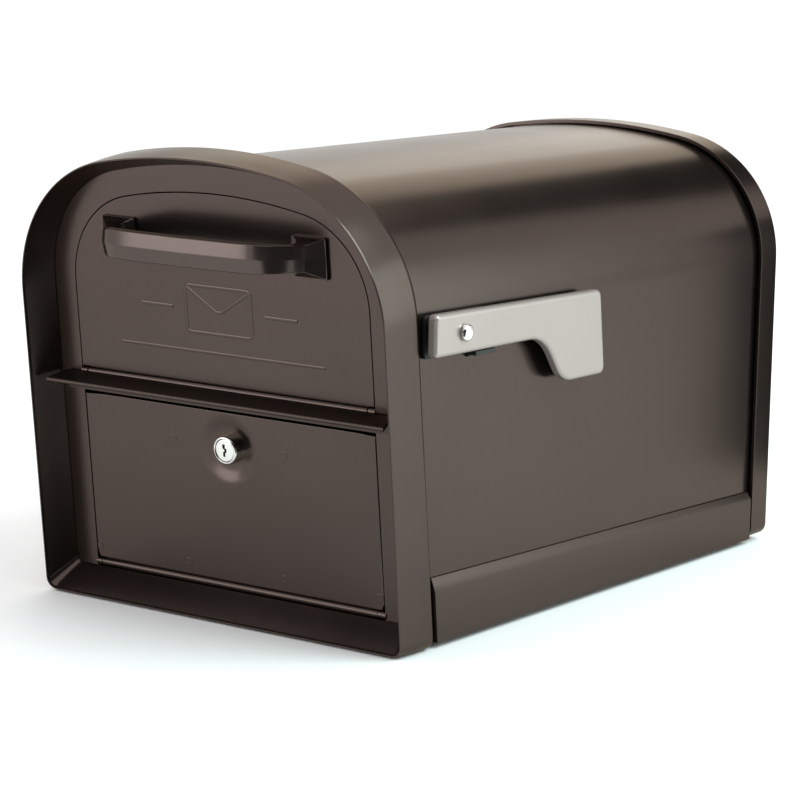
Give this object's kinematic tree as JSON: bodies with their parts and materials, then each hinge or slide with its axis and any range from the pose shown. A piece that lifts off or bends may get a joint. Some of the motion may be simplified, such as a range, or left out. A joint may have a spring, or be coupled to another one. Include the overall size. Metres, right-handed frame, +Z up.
{
  "type": "parcel drop box",
  "caption": "Arched post-mount parcel drop box with a pull-down hopper door, a locked lower retrieval door and a side signal flag.",
  "frame": {"origin": "centre of the flat underside of the base pan, where the box rests on its mounting board", "axes": "+X to the right seen from the front, +Y to the back, +Z up"},
  "size_m": [0.3119, 0.5099, 0.3111],
  "materials": {
    "bronze_paint": "rubbed-bronze powder coat, semi-gloss, fine orange peel",
    "dark_bronze_paint": "rubbed-bronze powder coat on a rolled drip ledge",
    "cast_bronze": "rubbed-bronze powder coat on a die casting, glossier",
    "chrome": "polished plating",
    "zinc": "bright zinc plating",
    "galvanised": "bare galvanised sheet",
    "silver_paint": "satin silver paint",
    "black_plastic": "moulded, fine grain",
    "rubber": "matte"
  },
  "bodies": {
    "cabinet": {"body_shell": "bronze_paint", "base_pan": "bronze_paint", "front_collar": "bronze_paint", "door_frame": "bronze_paint", "divider_ledge": "dark_bronze_paint", "rear_bezel": "bronze_paint", "rear_panel": "bronze_paint", "baffle_plate": "galvanised", "lock_strike": "galvanised", "hopper_hinge_rod": "zinc", "lower_hinge_rod": "zinc", "collar_screw_left": "zinc", "collar_screw_right": "zinc", "hopper_bumper_left": "rubber", "hopper_bumper_right": "rubber", "lower_bumper_left": "rubber", "lower_bumper_right": "rubber", "rear_screw_1": "zinc", "rear_screw_2": "zinc", "rear_screw_3": "zinc", "rear_screw_4": "zinc", "rear_screw_5": "zinc", "rear_screw_6": "zinc", "flag_mount": "black_plastic", "flag_rivet": "chrome", "flag_washer": "zinc", "flag_nut": "zinc"},
    "hopper": {"hopper_door": "bronze_paint", "hopper_hinge_leaf": "bronze_paint", "hopper_tray": "galvanised", "hopper_cheek_left": "galvanised", "hopper_cheek_right": "galvanised", "handle": "cast_bronze", "handle_screw_left": "zinc", "handle_screw_right": "zinc"},
    "retrieval_door": {"lower_door": "bronze_paint", "lower_hinge_leaf": "bronze_paint", "lock_plate": "galvanised", "hinge_stud_1": "bronze_paint", "hinge_stud_2": "bronze_paint", "hinge_stud_3": "bronze_paint", "hinge_stud_4": "bronze_paint", "lock_stud_1": "bronze_paint", "lock_stud_2": "bronze_paint", "lock_housing": "chrome", "lock_nut": "zinc"},
    "lock_core": {"lock_plug": "chrome", "lock_cam": "zinc", "cam_screw": "zinc"},
    "signal_flag": {"flag": "silver_paint"}
  },
  "joints": [
    {"name": "hopper_hinge", "type": "hinge", "parent": "cabinet", "child": "hopper", "pos_m": [0, -0.23406, 0.1505], "axis": [1, 0, 0], "range_deg": [0, 50]},
    {"name": "retrieval_hinge", "type": "hinge", "parent": "cabinet", "child": "retrieval_door", "pos_m": [0, -0.21859, 0.0171], "axis": [1, 0, 0], "range_deg": [0, 90]},
    {"name": "lock_turn", "type": "hinge", "parent": "retrieval_door", "child": "lock_core", "pos_m": [0, -0.23107, 0.1109], "axis": [0, 0.9933, 0.1152], "range_deg": [0, 90]},
    {"name": "flag_pivot", "type": "hinge", "parent": "cabinet", "child": "signal_flag", "pos_m": [0.1546, -0.1921, 0.1999], "axis": [1, 0, 0], "range_deg": [0, 90]}
  ]
}
